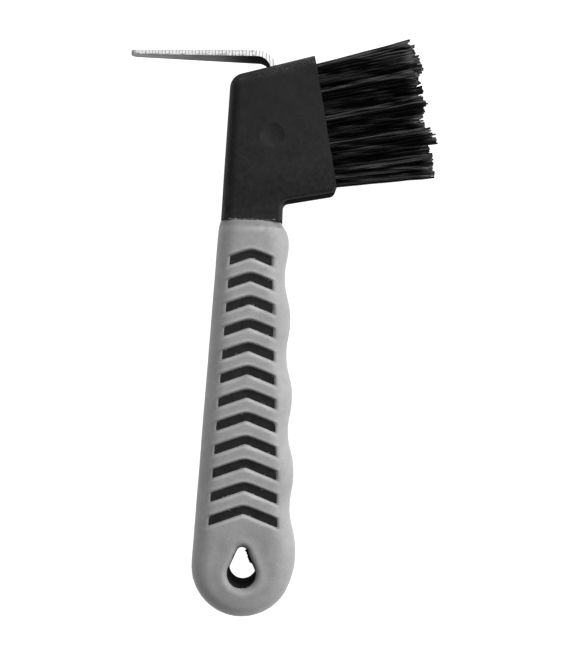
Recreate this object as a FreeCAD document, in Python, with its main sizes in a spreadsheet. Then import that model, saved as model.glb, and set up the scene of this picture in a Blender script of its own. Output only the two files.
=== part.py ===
import FreeCAD, Part

import math
import os

import Sketcher

# A hoof pick with a brush, lying on its side. It is a hard plastic core with a soft sleeve moulded
# over its shank, a bent steel pick moulded into its head, and bristle tufts held in the head by
# flat wire anchors. Nothing on it moves.
#
# Design axes, in millimetres: +Y runs up the handle from the centre of its rounded end, +X points
# to the bristle side, and Z = 0 is the plane that halves the thickness. Each piece is then shifted
# by the same amount, so that the whole object stands on Z = 0 with its middle at X = Y = 0.

DIMENSIONS = [
    # Grip, seen from above
    ("end_radius", 16.6, "rounded end of the grip"),
    ("side_taper", 2.9, "lean of each side of the grip, degrees"),
    ("grip_top", 112.95, "upper end of the sleeve"),
    ("grip_thickness", 19.0, "sleeve, face to face"),
    ("grip_rounding", 6.5, "rounding along the sleeve's sides"),
    ("groove_start", 12.15, "where the lowest finger groove begins"),
    ("groove_pitch", 25.2, "from one finger groove to the next"),
    ("groove_depth", 1.6, "crest to bottom of a finger groove"),
    ("groove_outset", 0.2, "mean line of the grooves outside the straight side"),
    ("lip_height", 2.4, "sloping lip at the top of the sleeve"),
    ("lip_inset", 0.8, "how far the lip slopes inwards"),
    # Shank and lands of the core, under the sleeve
    ("side_wall", 2.4, "sleeve wall at the sides"),
    ("shank_thickness", 15.6, "shank, face to face"),
    ("shank_rounding", 4.5, "rounding along the shank"),
    ("land_thickness", 16.8, "raised lands that show in the windows, face to face"),
    ("land_margin", 0.4, "how far a land reaches under the edge of its window"),
    # Chevron windows
    ("window_count", 12, "windows on each face"),
    ("window_pitch", 7.53, "from one window to the next"),
    ("window_height", 3.0, "height of a window along the handle"),
    ("window_slope", 21.0, "slope of a window's arms, degrees"),
    ("window_top", 103.45, "point of the topmost window, before rounding"),
    ("window_inset", 4.8, "from the grip's straight side to the end of a window"),
    ("window_nose_radius", 3.5, "rounding of a window's upper point"),
    ("window_draft", 25.0, "slope of a window's walls, degrees"),
    # Hanging hole
    ("hole_radius", 4.5, "wide end of the teardrop"),
    ("hole_tip_radius", 1.75, "narrow end of the teardrop"),
    ("hole_low", -1.85, "centre of the wide end"),
    ("hole_high", 5.1, "centre of the narrow end"),
    ("hole_lip", 0.4, "how far the sleeve stands back from the hole"),
    ("hole_rim_rounding", 1.4, "rounded rim of the sleeve"),
    # Neck and head of the core
    ("neck_back_x", -10.25, "back of the neck"),
    ("neck_front_x", 9.8, "front of the neck"),
    ("neck_thickness", 17.2, "neck, face to face"),
    ("neck_start", 112.75, "where the neck begins, just inside the top of the sleeve"),
    ("swell_start", 114.15, "where the neck begins to swell into the head"),
    ("swell_end", 130.15, "where the head has its full thickness"),
    ("head_thickness", 20.0, "head, face to face"),
    ("head_back_x", -8.4, "back corner of the head, before rounding"),
    ("head_back_y", 159.45, "back corner of the head, before rounding"),
    ("face_top_x", 18.6, "upper corner of the bristle face"),
    ("face_top_y", 166.95, "upper corner of the bristle face"),
    ("face_length", 45.0, "length of the bristle face"),
    ("face_lean", 11.1, "lean of the bristle face, degrees"),
    ("back_corner_radius", 5.0, "back corner of the head"),
    ("inner_corner_radius", 2.0, "corner between the neck and the head"),
    ("low_corner_radius", 2.2, "lower corner of the head"),
    ("low_corner_turn", 60.0, "how far that corner turns before it meets the bristle face, degrees"),
    ("back_rounding", 4.0, "rounding along the back and top of the head"),
    ("front_rounding", 1.5, "rounding under the brush"),
    ("dimple_radius", 4.0, "shallow dimple on the head's upper face"),
    ("dimple_depth", 0.5, "depth of the dimple"),
    ("dimple_x", 5.8, "middle of the dimple"),
    ("dimple_y", 140.15, "middle of the dimple"),
    # Pick
    ("pick_thickness", 1.9, "steel strip"),
    ("pick_tip_thickness", 1.2, "steel strip at the tip"),
    ("pick_width", 12.5, "steel strip, side to side"),
    ("pick_tip_width", 5.5, "steel strip at the tip, side to side"),
    ("pick_tip_rounding", 2.3, "rounded corners of the tip"),
    ("pick_tip_x", -41.6, "tip of the pick"),
    ("pick_arm_y", 167.25, "middle of the arm"),
    ("pick_tang_x", 5.5, "middle of the tang"),
    ("pick_tang_end", 133.15, "lower end of the tang, inside the head"),
    ("pick_bend_radius", 5.4, "bend, at the middle of the strip"),
    ("pick_lock_diameter", 5.0, "hole in the tang that the plastic fills"),
    ("pick_lock_y", 141.15, "middle of that hole"),
    # Brush
    ("tuft_diameter", 5.0, "bristle hole and the tuft in it"),
    ("tuft_tip_diameter", 7.2, "spread of a tuft at its tip"),
    ("tuft_hole_depth", 9.0, "depth of a bristle hole"),
    ("tuft_length", 32.5, "free length of a tuft"),
    ("tuft_pitch", 8.65, "from one tuft to the next in a row"),
    ("tuft_row_spacing", 5.75, "from the middle row to an outer row"),
    ("tuft_middle", 22.4, "middle of the brush, from the upper end of the bristle face"),
    ("tuft_fan", 6.6, "angle between the first and the last tuft of a row, degrees"),
    ("tuft_lift", 0.3, "mean lean of the tufts towards the pick, degrees"),
    ("tuft_splay", 0.5, "outward lean of the outer rows, degrees"),
    ("tufts_per_outer_row", 5, "tufts in each outer row"),
    ("anchor_width", 5.8, "flat wire anchor, across the hole"),
    ("anchor_height", 1.6, "flat wire anchor, along the hole"),
    ("anchor_thickness", 0.35, "flat wire anchor"),
    ("anchor_floor", 0.8, "bristle folded under the anchor"),
    # Shift from the design axes to the object's own frame, filled in once the shapes are known
    ("frame_x", 0.0, "middle of the object"),
    ("frame_y", 0.0, "middle of the object"),
    ("frame_z", 0.0, "lowest point of the object"),
]

ROWS = [("upper", 1, 0), ("middle", 0, 1), ("lower", -1, 0)]    # name, side, how many tufts fewer
BEYOND = "400"                                                  # clear of the whole object
MARGIN = "20"                                                   # clear of the edge that is cut
TINY = 0.01                                                     # less than this is no distance
UPRIGHT_TILT = 0.05                                             # most that an upright wall looks up
LEVEL_TILT = 0.9                                                # least that a level face looks up
FACE_PLANE = "XY_Plane"                                         # halves the thickness

# The swell beside the round end, before its tangent joints settle it
ROUGH_JOINT = 70                                                # from the bottom, degrees
ROUGH_SWELL = 1.75                                              # its radius over the round end's

# How far each outline stands outside the nominal one
HOLE_IN_CORE = "0"
HOLE_IN_SLEEVE = "sizes.hole_lip"
WINDOW_IN_SLEEVE = "0"
WINDOW_ON_CORE = "sizes.land_margin"

doc = FreeCAD.newDocument("hoof_pick")
sheet = doc.addObject("Spreadsheet::Sheet", "sizes")


def fill_sheet():
    """Write the driving dimensions, one to a row: name, value, meaning."""
    for row, (alias, number, meaning) in enumerate(DIMENSIONS, start=1):
        sheet.set(f"A{row}", alias)
        sheet.set(f"B{row}", str(number))
        sheet.set(f"C{row}", meaning)
        sheet.setAlias(f"B{row}", alias)
    doc.recompute()


def size(alias):
    """The number in the sheet's cell of this name."""
    return float(sheet.get(alias))


# ---------------------------------------------------------------- sketch and feature helpers


def new_body(name):
    """A body at the design axes, which the frame's shift moves."""
    body = doc.addObject("PartDesign::Body", name)
    body.Label = name
    origin = "vector(-sizes.frame_x; -sizes.frame_y; -sizes.frame_z)"
    body.setExpression("Placement", f"placement({origin}; rotation(0; 0; 0))")
    return body


def new_sketch(body, name, role=FACE_PLANE, height="0"):
    """A sketch on one of the body's own origin planes, raised by an expression."""
    plane = next(item for item in body.Origin.OriginFeatures if item.Role == role)
    sketch = body.newObject("Sketcher::SketchObject", name)
    sketch.AttachmentSupport = [(plane, "")]
    sketch.MapMode = "FlatFace"
    sketch.setExpression("AttachmentOffset.Base.z", height)
    return sketch


def number(sketch, expression):
    """The value of an expression, as a plain number."""
    result = sketch.evalExpression(expression)
    return float(getattr(result, "Value", result))


def bind(sketch, dimensions):
    """Add dimensions to a sketch, each a constraint with the expression that drives it."""
    first = sketch.ConstraintCount
    sketch.addConstraint([constraint for constraint, _ in dimensions])
    for index, (_, expression) in enumerate(dimensions, start=first):
        sketch.setExpression(f"Constraints[{index}]", expression)


def pins(sketch, side, end, corner):
    """The two dimensions that tie one end of a side to a corner, a pair of expressions."""
    return [
        (Sketcher.Constraint(kind, -1, 1, side, end, number(sketch, expression)), expression)
        for kind, expression in zip(("DistanceX", "DistanceY"), corner)
    ]


def radius_of(sketch, side, radius):
    """The dimension that gives a round side its radius."""
    return Sketcher.Constraint("Radius", side, number(sketch, radius)), radius


def arc_between(start, end, radius, bulge):
    """The shorter arc from start to end; a positive bulge lies to the right of that way."""
    chord = end - start
    half = chord.Length / 2
    rise = math.sqrt(max(radius * radius - half * half, 0.0))
    to_right = FreeCAD.Vector(chord.y, -chord.x, 0).normalize() * math.copysign(1.0, bulge)
    middle = (start + end) * 0.5
    top = middle + to_right * (radius - rise)
    return Part.Arc(start, top, end)


def closed_outline(sketch, corners, rounds=None):
    """Add a closed outline through the corners; rounds gives (radius, bulge) for a side by its
    number, and the other sides are straight."""
    rounds = rounds or {}
    points = [FreeCAD.Vector(number(sketch, x), number(sketch, y), 0) for x, y in corners]
    first = sketch.GeometryCount
    ends = []
    for index, start in enumerate(points):
        end = points[(index + 1) % len(points)]
        if index in rounds:
            radius, bulge = rounds[index]
            side = sketch.addGeometry(arc_between(start, end, number(sketch, radius), bulge))
            ends.append((2, 1) if bulge < 0 else (1, 2))
        else:
            side = sketch.addGeometry(Part.LineSegment(start, end))
            ends.append((1, 2))
    joints, dimensions = [], []
    for index, corner in enumerate(corners):
        side, after = first + index, (index + 1) % len(corners)
        joint = Sketcher.Constraint("Coincident", side, ends[index][1], first + after, ends[after][0])
        joints.append(joint)
        dimensions += pins(sketch, side, ends[index][0], corner)
    dimensions += [radius_of(sketch, first + index, radius) for index, (radius, _) in rounds.items()]
    sketch.addConstraint(joints)
    bind(sketch, dimensions)
    return sketch


def pad(body, name, sketch, length, symmetric=True):
    """Thicken a sketch by an expression, to both sides of its plane or to one."""
    feature = body.newObject("PartDesign::Pad", name)
    feature.Profile = sketch
    feature.SideType = "Symmetric" if symmetric else "One side"
    feature.setExpression("Length", length)
    return feature


def pocket(body, name, sketch, length, symmetric=True, reverse=False, draft=None):
    """Cut a sketch out of a body, and check that something was cut."""
    doc.recompute()
    before = body.Shape.Volume
    feature = body.newObject("PartDesign::Pocket", name)
    feature.Profile = sketch
    feature.SideType = "Symmetric" if symmetric else "One side"
    feature.Reversed = reverse
    feature.setExpression("Length", length)
    if draft:
        feature.setExpression("TaperAngle", draft)
    doc.recompute()
    if body.Shape.Volume >= before:
        raise RuntimeError(f"{name} cut nothing")
    return feature


def fillet(body, name, wanted, radius):
    """Round the edges of a body's tip that the test picks out."""
    doc.recompute()
    tip = body.Tip
    names = [f"Edge{index}" for index, edge in enumerate(tip.Shape.Edges, start=1) if wanted(edge)]
    if not names:
        raise RuntimeError(f"{name} found no edge")
    feature = body.newObject("PartDesign::Fillet", name)
    feature.Base = (tip, names)
    feature.setExpression("Radius", radius)
    doc.recompute()
    if feature.Shape.isNull():
        raise RuntimeError(f"{name} failed")
    return feature


def is_upright(edge):
    """True for a straight edge along Z."""
    along = edge.tangentAt(edge.FirstParameter)
    return isinstance(edge.Curve, Part.Line) and abs(abs(along.z) - 1) < TINY


def near_line(edge, x, y):
    """True if an upright edge stands at x, y."""
    middle = edge.BoundBox.Center
    return is_upright(edge) and math.hypot(middle.x - x, middle.y - y) < TINY


def on_line(edge, start, end):
    """True if an edge lies over the line between two points seen from above."""
    run_x, run_y = end[0] - start[0], end[1] - start[1]
    length = math.hypot(run_x, run_y)
    return all(
        abs((v.X - start[0]) * run_y - (v.Y - start[1]) * run_x) / length < TINY
        for v in edge.Vertexes
    )


def at_grip_top(edge):
    """True for an edge in the plane where the grip ends."""
    top = size("grip_top")
    return all(abs(v.Y - top) < TINY for v in edge.Vertexes)


def rims(body, edge):
    """True if an edge lies between an upright wall and a face that looks up or down."""
    faces = body.Tip.Shape.ancestorsOfType(edge, Part.Face)
    tilts = []
    for face in faces:
        u_low, u_high, v_low, v_high = face.ParameterRange
        tilts.append(abs(face.normalAt((u_low + u_high) / 2, (v_low + v_high) / 2).z))
    return len(tilts) == 2 and min(tilts) < UPRIGHT_TILT and max(tilts) > LEVEL_TILT


# ---------------------------------------------------------------- outlines seen from above


def side_x(y, inset="0"):
    """Expression for the grip's straight side at a height, less a level inset."""
    taper = "sizes.side_taper * 1deg"
    return f"(sizes.end_radius - {inset}) / cos({taper}) - ({y}) * tan({taper})"


def teardrop(sketch, grow):
    """The hanging hole's outline, grown outwards."""
    wide = f"(sizes.hole_radius + {grow})"
    narrow = f"(sizes.hole_tip_radius + {grow})"
    lean = "asin((sizes.hole_radius - sizes.hole_tip_radius) / (sizes.hole_high - sizes.hole_low))"
    low_y = f"sizes.hole_low + {wide} * sin({lean})"
    high_y = f"sizes.hole_high + {narrow} * sin({lean})"
    bottom_y = f"sizes.hole_low - {wide}"
    corners = [
        ("0", bottom_y),
        (f"{wide} * cos({lean})", low_y),
        (f"{narrow} * cos({lean})", high_y),
        (f"-{narrow} * cos({lean})", high_y),
        (f"-{wide} * cos({lean})", low_y),
    ]
    rounds = {0: (wide, 1), 2: (narrow, 1), 4: (wide, 1)}
    return closed_outline(sketch, corners, rounds)


def chevrons(sketch, grow):
    """All the windows of one face, each grown outwards: a bent band, higher in the middle, with
    ends parallel to the grip's sides."""
    slope = "tan(sizes.window_slope * 1deg)"
    taper = "tan(sizes.side_taper * 1deg)"
    widen = f"{grow} / cos(sizes.window_slope * 1deg)"
    nose = f"(sizes.window_nose_radius + {grow})"
    end_line = f"({side_x('0')} - sizes.window_inset + {grow})"
    for index in range(int(size("window_count"))):
        apex = f"(sizes.window_top - {index} * sizes.window_pitch)"
        upper = f"({apex} + {widen})"
        lower = f"({apex} - sizes.window_height - {widen})"
        end_top = f"({end_line} - {upper} * {taper}) / (1 - {slope} * {taper})"
        end_low = f"({end_line} - {lower} * {taper}) / (1 - {slope} * {taper})"
        nose_x = f"{nose} * sin(sizes.window_slope * 1deg)"
        corners = [
            ("0", lower),
            (end_low, f"{lower} - ({end_low}) * {slope}"),
            (end_top, f"{upper} - ({end_top}) * {slope}"),
            (nose_x, f"{upper} - {nose_x} * {slope}"),
            (f"-{nose_x}", f"{upper} - {nose_x} * {slope}"),
            (f"-({end_top})", f"{upper} - ({end_top}) * {slope}"),
            (f"-({end_low})", f"{lower} - ({end_low}) * {slope}"),
        ]
        closed_outline(sketch, corners, {3: (nose, 1)})
    return sketch


def grip_outline(sketch):
    """The sleeve from above: a straight back, a round end, and finger grooves on the brush side.
    The grooves are equal arcs that turn left and right by turns, so they run on smoothly; below
    them a swell is tangent to the lowest groove and to the round end."""
    taper = "sizes.side_taper * 1deg"
    back_low = (f"-sizes.end_radius * cos({taper})", f"sizes.end_radius * sin({taper})")
    back_top = (f"-({side_x('sizes.grip_top')})", "sizes.grip_top")
    waves = 2 * round((size("grip_top") - size("groove_start")) / size("groove_pitch"))
    step = f"((sizes.grip_top - sizes.groove_start) / {waves})"
    heights = [f"sizes.groove_start + {index} * {step}" for index in range(waves + 1)]
    crossings = [(side_x(y, "-sizes.groove_outset"), y) for y in heights]
    chord = f"({step} / cos({taper}))"
    wave_radius = f"{chord} * {chord} / (4 * sizes.groove_depth) + sizes.groove_depth / 4"

    def point(corner):
        return FreeCAD.Vector(*[number(sketch, part) for part in corner], 0)

    # The round end and the swell start from a rough shape, which the tangent joints settle
    bottom = FreeCAD.Vector(0, -size("end_radius"), 0)
    rough_joint = FreeCAD.Rotation(ROUGH_JOINT, 0, 0).multVec(bottom)
    rough_radius = ROUGH_SWELL * size("end_radius")
    end = sketch.addGeometry(Part.Arc(point(back_low), bottom, rough_joint))
    swell = sketch.addGeometry(arc_between(rough_joint, point(crossings[0]), rough_radius, 1))
    sides = []
    for index in range(waves):
        bulge = -1 if index % 2 == 0 else 1
        ends = point(crossings[index]), point(crossings[index + 1])
        wave = sketch.addGeometry(arc_between(*ends, number(sketch, wave_radius), bulge))
        sides.append((wave, (2, 1) if bulge < 0 else (1, 2), crossings[index]))
    top = sketch.addGeometry(Part.LineSegment(point(crossings[-1]), point(back_top)))
    back = sketch.addGeometry(Part.LineSegment(point(back_top), point(back_low)))
    sides += [(top, (1, 2), crossings[-1]), (back, (1, 2), back_top), (end, (1, 2), back_low)]

    joints, dimensions = [], []
    for (side, ends, corner), (after, after_ends, _) in zip(sides, sides[1:]):
        joints.append(Sketcher.Constraint("Coincident", side, ends[1], after, after_ends[0]))
        dimensions += pins(sketch, side, ends[0], corner)
    dimensions += pins(sketch, end, 1, back_low)
    dimensions += [radius_of(sketch, wave, wave_radius) for wave, _, _ in sides[:waves]]
    joints.append(Sketcher.Constraint("Coincident", end, 3, -1, 1))
    joints.append(Sketcher.Constraint("Tangent", end, 2, swell, 1))
    joints.append(Sketcher.Constraint("Tangent", swell, 2, sides[0][0], sides[0][1][0]))
    sketch.addConstraint(joints)
    bind(sketch, dimensions)
    return sketch


def shank_outline(sketch):
    """The core's shank under the sleeve, with the same taper and plain sides."""
    radius = "(sizes.end_radius - sizes.side_wall)"
    taper = "sizes.side_taper * 1deg"
    low_x, low_y = f"{radius} * cos({taper})", f"{radius} * sin({taper})"
    top_x = side_x("sizes.grip_top", "sizes.side_wall")
    corners = [
        ("0", f"-{radius}"),
        (low_x, low_y),
        (top_x, "sizes.grip_top"),
        (f"-({top_x})", "sizes.grip_top"),
        (f"-{low_x}", low_y),
    ]
    return closed_outline(sketch, corners, {0: (radius, 1), 4: (radius, 1)})


def head_corners():
    """The corners of the neck and head from above, as pairs of expressions. A round corner leaves
    the head's lower side at corner_start, and meets the bristle face in an edge at face_low."""
    lean = "sizes.face_lean * 1deg"
    low_x = f"(sizes.face_top_x + sizes.face_length * sin({lean}))"
    low_y = f"(sizes.face_top_y - sizes.face_length * cos({lean}))"
    turn = "sizes.low_corner_turn * 1deg"
    before = f"sizes.low_corner_radius * sin({turn})"
    after = f"sizes.low_corner_radius * (1 - cos({turn}))"
    return {
        "neck_back": ("sizes.neck_back_x", "sizes.neck_start"),
        "neck_front": ("sizes.neck_front_x", "sizes.neck_start"),
        "above_neck": ("sizes.neck_front_x", f"{low_y} - ({low_x} - sizes.neck_front_x) * tan({lean})"),
        "corner_start": (f"{low_x} - {before} * cos({lean})", f"{low_y} - {before} * sin({lean})"),
        "face_low": (f"{low_x} - {after} * sin({lean})", f"{low_y} + {after} * cos({lean})"),
        "face_top": ("sizes.face_top_x", "sizes.face_top_y"),
        "head_back": ("sizes.head_back_x", "sizes.head_back_y"),
    }


# ---------------------------------------------------------------- the pieces


def head_body():
    """The core's neck and head: a block whose thickness swells from neck to head, cut to its
    outline from above, rounded, and dimpled."""
    body = new_body("head_body")
    pad(body, "head_block", head_side_view(body), BEYOND)
    around = new_sketch(body, "head_surround")
    far_top = f"(sizes.face_top_y + {MARGIN})"
    below = f"(sizes.neck_start - {MARGIN})"
    far_corners = [(f"-{BEYOND}", below), (BEYOND, below), (BEYOND, far_top), (f"-{BEYOND}", far_top)]
    closed_outline(around, far_corners)
    corners = head_corners()
    low_corner = list(corners).index("corner_start")
    closed_outline(around, list(corners.values()), {low_corner: ("sizes.low_corner_radius", 1)})
    pocket(body, "head_sides", around, BEYOND)

    places = {name: [number(around, part) for part in corner] for name, corner in corners.items()}
    fillet(body, "back_corner", lambda edge: near_line(edge, *places["head_back"]),
           "sizes.back_corner_radius")
    fillet(body, "inner_corner", lambda edge: near_line(edge, *places["above_neck"]),
           "sizes.inner_corner_radius")

    def is_long_rim(edge):
        beside_grip = on_line(edge, places["neck_back"], places["neck_front"])
        beside_brush = on_line(edge, places["face_top"], places["face_low"])
        return rims(body, edge) and not beside_grip and not beside_brush

    def is_back(edge):
        middle = edge.BoundBox.Center
        return middle.x < 0 or middle.y > places["head_back"][1]

    fillet(body, "back_rounding", lambda edge: is_long_rim(edge) and is_back(edge),
           "sizes.back_rounding")
    fillet(body, "front_rounding", lambda edge: is_long_rim(edge) and not is_back(edge),
           "sizes.front_rounding")
    add_dimple(body)
    return body


def head_side_view(body):
    """The neck and head from the side: level faces joined by a gentle S."""
    neck, head = "sizes.neck_thickness / 2", "sizes.head_thickness / 2"
    rise = f"({head} - {neck})"
    run = "(sizes.swell_end - sizes.swell_start)"
    bend = f"({run} * {run} + {rise} * {rise}) / (4 * {rise})"
    middle_y = "(sizes.swell_start + sizes.swell_end) / 2"
    middle_z = f"({neck} + {head}) / 2"
    top = f"(sizes.face_top_y + {MARGIN})"
    corners = [
        ("sizes.neck_start", f"-{neck}"),
        ("sizes.swell_start", f"-{neck}"),
        (middle_y, f"-{middle_z}"),
        ("sizes.swell_end", f"-{head}"),
        (top, f"-{head}"),
        (top, head),
        ("sizes.swell_end", head),
        (middle_y, middle_z),
        ("sizes.swell_start", neck),
        ("sizes.neck_start", neck),
    ]
    rounds = {1: (bend, -1), 2: (bend, 1), 6: (bend, 1), 7: (bend, -1)}
    return closed_outline(new_sketch(body, "head_side_view", "YZ_Plane"), corners, rounds)


def shank_body():
    """The core's shank inside the sleeve: rounded sides, raised lands that fill the windows, and
    the hanging hole."""
    body = new_body("shank_body")
    pad(body, "shank", shank_outline(new_sketch(body, "shank_outline")), "sizes.shank_thickness")
    fillet(body, "shank_rounding", lambda edge: rims(body, edge) and not at_grip_top(edge),
           "sizes.shank_rounding")
    lands = chevrons(new_sketch(body, "land_outlines"), WINDOW_ON_CORE)
    pad(body, "lands", lands, "sizes.land_thickness")
    hole = teardrop(new_sketch(body, "core_hole_outline"), HOLE_IN_CORE)
    pocket(body, "core_hole", hole, BEYOND)
    return body


def add_dimple(body):
    """A shallow round hollow in the head's upper face."""
    ball = "((sizes.dimple_radius * sizes.dimple_radius / sizes.dimple_depth + sizes.dimple_depth) / 2)"
    face = "sizes.head_thickness / 2"
    low = f"({face} - sizes.dimple_depth)"
    profile = new_sketch(body, "dimple_section", "XZ_Plane", "-sizes.dimple_y")
    edge_x = "sizes.dimple_x + sizes.dimple_radius"
    corners = [("sizes.dimple_x", low), (edge_x, face), ("sizes.dimple_x", face)]
    closed_outline(profile, corners, {0: (ball, 1)})
    doc.recompute()
    before = body.Shape.Volume
    groove = body.newObject("PartDesign::Groove", "dimple")
    groove.Profile = profile
    groove.ReferenceAxis = (profile, ["Edge3"])
    groove.Angle = 360
    doc.recompute()
    if body.Shape.Volume >= before:
        raise RuntimeError("the dimple cut nothing")


def sleeve_body():
    """The sleeve as a solid block of its outer shape, with its windows and the hanging hole."""
    body = new_body("sleeve_body")
    pad(body, "grip", grip_outline(new_sketch(body, "grip_outline")), "sizes.grip_thickness")
    fillet(body, "grip_rounding", lambda edge: rims(body, edge) and not at_grip_top(edge),
           "sizes.grip_rounding")
    bevel_lip(body)
    land_face = "sizes.land_thickness / 2"
    windows = chevrons(new_sketch(body, "window_outlines", height=land_face), WINDOW_IN_SLEEVE)
    depth = "sizes.grip_thickness - sizes.land_thickness"
    cut = pocket(body, "windows", windows, depth, symmetric=False, reverse=True,
                 draft="sizes.window_draft")
    mirror(body, "windows_below", cut)
    hole = teardrop(new_sketch(body, "sleeve_hole_outline"), HOLE_IN_SLEEVE)
    pocket(body, "sleeve_hole", hole, BEYOND)
    spare = 2 * size("hole_lip")
    reach_x = size("hole_radius") + spare
    reach_y = size("hole_high") + size("hole_tip_radius") + spare

    def is_hole_rim(edge):
        box = edge.BoundBox
        return rims(body, edge) and max(box.XMax, -box.XMin) < reach_x and box.YMax < reach_y

    fillet(body, "hole_rim", is_hole_rim, "sizes.hole_rim_rounding")
    return body


def bevel_lip(body):
    """The lip where the sleeve slopes down to the neck."""
    doc.recompute()
    tip = body.Tip
    lip = body.newObject("PartDesign::Chamfer", "lip")
    names = [f"Edge{i}" for i, edge in enumerate(tip.Shape.Edges, start=1) if at_grip_top(edge)]
    lip.Base = (tip, names)
    lip.ChamferType = "Two distances"
    lip.setExpression("Size", "sizes.lip_height")
    lip.setExpression("Size2", "sizes.lip_inset")
    doc.recompute()
    if abs(lip.Shape.BoundBox.XMin - tip.Shape.BoundBox.XMin) > TINY:
        raise RuntimeError("the lip is cut the wrong way round")


def mirror(body, name, feature):
    """Repeat a feature on the other side of the plane that halves the thickness."""
    before = body.Shape.Volume
    mirrored = body.newObject("PartDesign::Mirrored", name)
    mirrored.Originals = [feature]
    plane = next(item for item in body.Origin.OriginFeatures if item.Role == FACE_PLANE)
    mirrored.MirrorPlane = (plane, [""])
    body.Tip = mirrored
    doc.recompute()
    if body.Shape.Volume >= before:
        raise RuntimeError(f"{name} changed nothing")


def pick_body():
    """The steel pick: an arm that narrows to its tip, one bend, and a tang with a hole that the
    head's plastic fills."""
    body = new_body("pick")
    pad(body, "strip", pick_side_view(body), "sizes.pick_width")
    narrow_arm(body)
    lock = new_sketch(body, "lock_circle", "YZ_Plane")
    centre = FreeCAD.Vector(size("pick_lock_y"), 0, 0)
    lock.addGeometry(Part.Circle(centre, FreeCAD.Vector(0, 0, 1), size("pick_lock_diameter") / 2))
    round_hole = radius_of(lock, 0, "sizes.pick_lock_diameter / 2")
    bind(lock, [*pins(lock, 0, 3, ("sizes.pick_lock_y", "0")), round_hole])
    pocket(body, "lock_hole", lock, BEYOND)
    return body


def pick_side_view(body):
    """The bent strip seen edge on: its arm thins towards the tip."""
    half, half_tip = "sizes.pick_thickness / 2", "sizes.pick_tip_thickness / 2"
    bend_x = "(sizes.pick_tang_x - sizes.pick_bend_radius)"
    bend_y = "(sizes.pick_arm_y - sizes.pick_bend_radius)"
    corners = [
        ("sizes.pick_tip_x", f"sizes.pick_arm_y - {half_tip}"),
        (bend_x, f"sizes.pick_arm_y - {half}"),
        (f"sizes.pick_tang_x - {half}", bend_y),
        (f"sizes.pick_tang_x - {half}", "sizes.pick_tang_end"),
        (f"sizes.pick_tang_x + {half}", "sizes.pick_tang_end"),
        (f"sizes.pick_tang_x + {half}", bend_y),
        (bend_x, f"sizes.pick_arm_y + {half}"),
        ("sizes.pick_tip_x", f"sizes.pick_arm_y + {half_tip}"),
    ]
    inside, outside = f"sizes.pick_bend_radius - {half}", f"sizes.pick_bend_radius + {half}"
    rounds = {1: (inside, -1), 5: (outside, 1)}
    return closed_outline(new_sketch(body, "pick_side_view"), corners, rounds)


def narrow_arm(body):
    """Taper the arm's width towards its tip, and round the tip."""
    half, half_tip = "sizes.pick_width / 2", "sizes.pick_tip_width / 2"
    bend_x = "(sizes.pick_tang_x - sizes.pick_bend_radius)"
    taper = new_sketch(body, "arm_taper", "XZ_Plane")
    for sign in ("", "-"):
        corners = [
            (bend_x, f"{sign}({half})"),
            (bend_x, f"{sign}({half} + {MARGIN})"),
            (f"sizes.pick_tip_x - {MARGIN}", f"{sign}({half} + {MARGIN})"),
            (f"sizes.pick_tip_x - {MARGIN}", f"{sign}({half_tip})"),
            ("sizes.pick_tip_x", f"{sign}({half_tip})"),
        ]
        closed_outline(taper, corners)
    pocket(body, "arm_taper_cut", taper, BEYOND)
    tip_x = size("pick_tip_x")

    def is_tip_corner(edge):
        upright = edge.BoundBox.ZLength < TINY and edge.BoundBox.XLength < TINY
        return upright and abs(edge.BoundBox.XMin - tip_x) < TINY

    fillet(body, "tip_rounding", is_tip_corner, "sizes.pick_tip_rounding")


def tuft_body(name, side, offset):
    """One bristle tuft before its fold is slotted for the anchor. Its own X axis runs out of the
    head, and X = 0 is at the bristle face."""
    body = doc.addObject("PartDesign::Body", f"{name}_body")
    body.Label = f"{name}_body"
    body.setExpression("Placement", tuft_place(side, offset))
    radius, tip = "sizes.tuft_diameter / 2", "sizes.tuft_tip_diameter / 2"
    corners = [
        ("-sizes.tuft_hole_depth", "0"),
        ("sizes.tuft_length", "0"),
        ("sizes.tuft_length", tip),
        ("0", radius),
        ("-sizes.tuft_hole_depth", radius),
    ]
    profile = closed_outline(new_sketch(body, f"{name}_profile"), corners)
    turned = body.newObject("PartDesign::Revolution", f"{name}_bundle")
    turned.Profile = profile
    turned.ReferenceAxis = (profile, ["H_Axis"])
    turned.Angle = 360
    return body


def tuft_place(side, offset):
    """Where a tuft stands: its row's side of the middle plane, and how many pitches it is below
    the middle of the brush."""
    lean = "sizes.face_lean * 1deg"
    along = f"(sizes.tuft_middle + {offset} * sizes.tuft_pitch)"
    x = f"sizes.face_top_x + {along} * sin({lean}) - sizes.frame_x"
    y = f"sizes.face_top_y - {along} * cos({lean}) - sizes.frame_y"
    z = f"{side} * sizes.tuft_row_spacing - sizes.frame_z"
    fan = f"{offset} * sizes.tuft_fan / (sizes.tufts_per_outer_row - 1)"
    yaw = f"sizes.face_lean + sizes.tuft_lift - {fan}"
    pitch = f"-{side} * sizes.tuft_splay" if side >= 0 else f"{-side} * sizes.tuft_splay"
    return f"placement(vector({x}; {y}; {z}); rotation({yaw}; {pitch}; 0))"


def tuft_anchor(name, side, offset):
    """The flat wire driven across the bottom of the hole; its ends bite into the plastic."""
    anchor = doc.addObject("Part::Box", name)
    anchor.Label = name
    anchor.setExpression("Length", "sizes.anchor_height")
    anchor.setExpression("Width", "sizes.anchor_width")
    anchor.setExpression("Height", "sizes.anchor_thickness")
    corner = ("vector(sizes.anchor_floor - sizes.tuft_hole_depth; "
              "-sizes.anchor_width / 2; -sizes.anchor_thickness / 2)")
    place = f"{tuft_place(side, offset)} * placement({corner}; rotation(0; 0; 0))"
    anchor.setExpression("Placement", place)
    return anchor


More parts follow.
